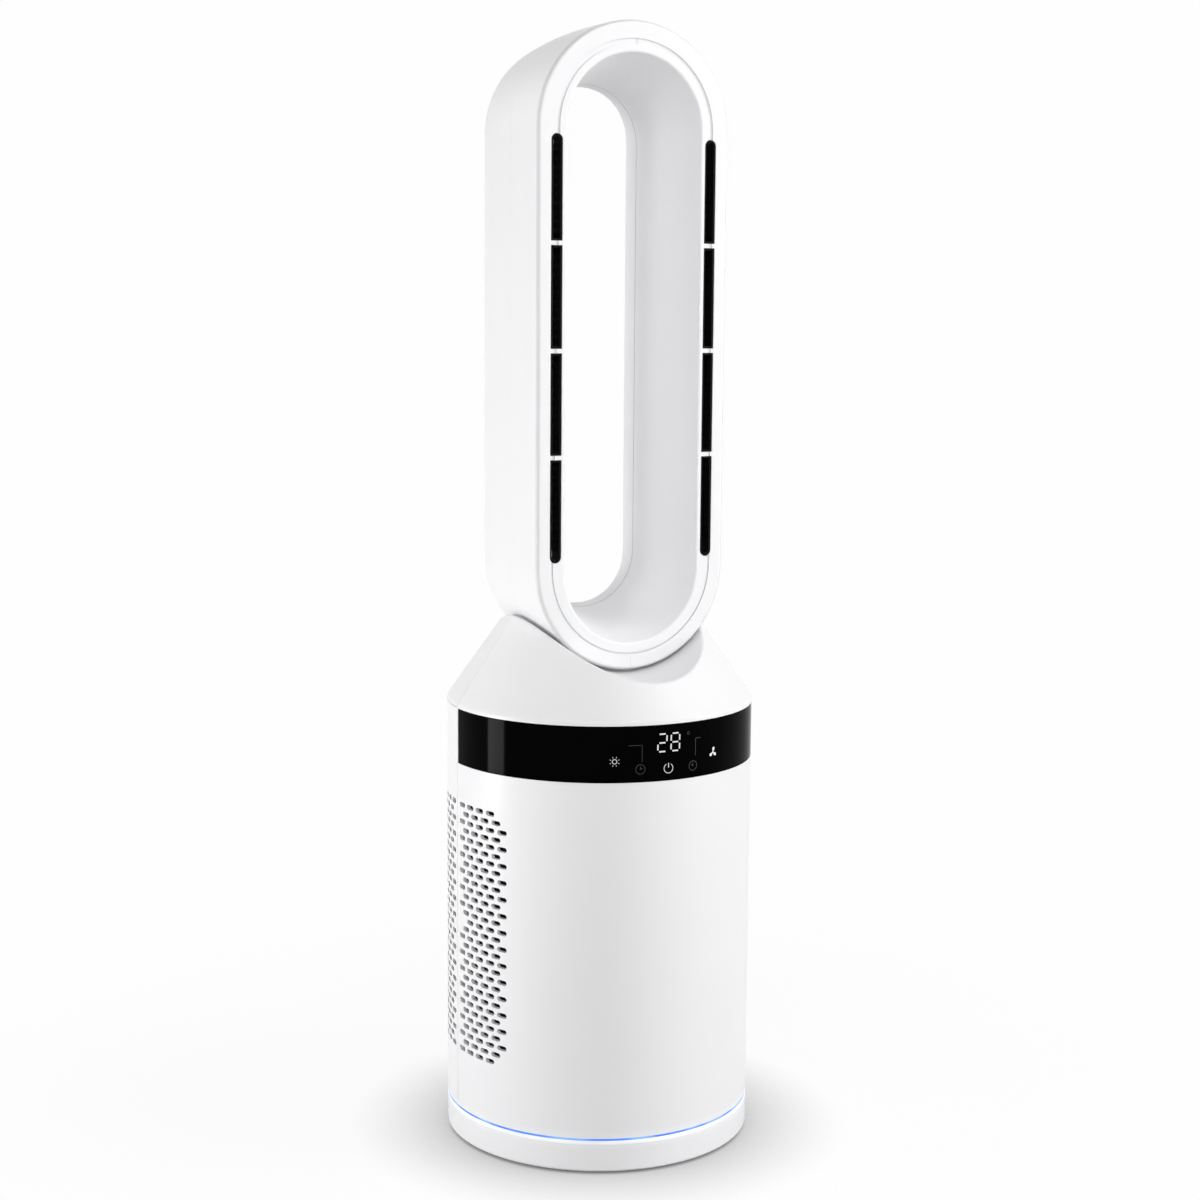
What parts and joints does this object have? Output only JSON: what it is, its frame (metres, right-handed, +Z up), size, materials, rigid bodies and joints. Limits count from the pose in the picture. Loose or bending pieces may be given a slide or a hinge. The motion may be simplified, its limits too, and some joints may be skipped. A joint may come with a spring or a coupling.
{
  "type": "bladeless tower fan",
  "caption": "Tower bladeless fan with a round lit base, turning perforated tower, touch display band, saddle shoulder and oval air loop with slotted outlets.",
  "frame": {"origin": "centre of the round footprint, on the floor", "axes": "+Z up along the tower, front of the fan faces -Y, +X to the fan's left hand side seen from behind (right when seen from the front)"},
  "size_m": [0.22, 0.22, 0.7891],
  "materials": {
    "white_shell": "satin white moulded ABS",
    "white_inner": "plain white moulding",
    "black_gloss": "polished black",
    "light_diffuser": "frosted translucent, lit cool blue",
    "dark_plastic": "moulded, fine texture",
    "acetal": "smooth natural acetal",
    "rubber": "matte",
    "steel": "zinc plated",
    "copper": "enamelled copper winding",
    "aluminium": "plain mill finish",
    "circuit_board": "green solder mask",
    "components": "moulded component cases",
    "ceramic_bracket": "heat-resistant moulding",
    "filter_paper": "pleated fibre",
    "carbon_foam": "open-cell carbon foam"
  },
  "bodies": {
    "base": {"base_shell": "white_shell", "base_plate": "dark_plastic", "base_screws": "steel", "rubber_feet": "rubber", "ballast_plate": "steel", "cord_gland": "dark_plastic", "light_ring": "light_diffuser", "light_ring_board": "circuit_board", "ring_leds": "components", "sun_gear": "acetal", "lower_race": "steel", "pivot_retainer": "acetal", "retainer_screws": "steel"},
    "ball_cage": {"ball_cage": "acetal", "bearing_balls": "steel"},
    "tower": {"turntable": "dark_plastic", "upper_race": "steel", "oscillation_motor": "steel", "deck_posts": "dark_plastic", "deck_screws": "steel", "intake_floor": "dark_plastic", "intake_ceiling": "dark_plastic", "chassis_rails": "dark_plastic", "main_board": "circuit_board", "board_components": "components", "heat_sink": "aluminium", "front_housing": "white_shell", "rear_shoulder": "white_shell", "control_lens": "black_gloss", "display_board": "circuit_board", "display_module": "components", "touch_springs": "steel", "impeller_housing": "dark_plastic", "inlet_bellmouth": "dark_plastic", "inlet_guard": "dark_plastic", "motor_bucket": "dark_plastic", "motor_cap": "dark_plastic", "motor_stator": "steel", "stator_coils": "copper", "motor_bearings": "steel", "duct_seals": "rubber", "loop_front_shell": "white_shell", "loop_rear_shell": "white_shell", "loop_neck": "white_inner", "left_outlet_grille": "black_gloss", "right_outlet_grille": "black_gloss", "left_heater": "aluminium", "right_heater": "aluminium", "heater_brackets": "ceramic_bracket", "thermal_cutouts": "steel"},
    "drive_pinion": {"drive_pinion": "acetal", "motor_output_shaft": "steel"},
    "impeller": {"impeller": "acetal", "impeller_nut": "steel", "motor_shaft": "steel", "motor_rotor": "steel"},
    "rear_cover": {"rear_cover": "white_shell", "filter_frame": "acetal", "pleated_filter": "filter_paper", "carbon_filter": "carbon_foam"}
  },
  "joints": [
    {"name": "oscillation", "type": "hinge", "parent": "base", "child": "tower", "pos_m": [0, 0, 0.0259], "axis": [0, 0, 1], "range_deg": [-40, 40]},
    {"name": "ball_cage_turn", "type": "hinge", "parent": "base", "child": "ball_cage", "pos_m": [0, 0, 0.02145], "axis": [0, 0, 1], "range_deg": [-20, 20]},
    {"name": "pinion_turn", "type": "hinge", "parent": "tower", "child": "drive_pinion", "pos_m": [0, -0.048, 0.0202], "axis": [0, 0, 1], "range_deg": [-120, 120]},
    {"name": "impeller_spin", "type": "hinge", "parent": "tower", "child": "impeller", "pos_m": [0, 0, 0.2], "axis": [0, 0, 1], "continuous": true},
    {"name": "rear_cover_pull", "type": "slide", "parent": "tower", "child": "rear_cover", "axis": [0, 1, 0], "range_m": [0, 0.14]}
  ],
  "couplings": [
    {"joint": "pinion_turn", "follows": "oscillation", "ratio": 3},
    {"joint": "ball_cage_turn", "follows": "oscillation", "ratio": 0.5}
  ]
}
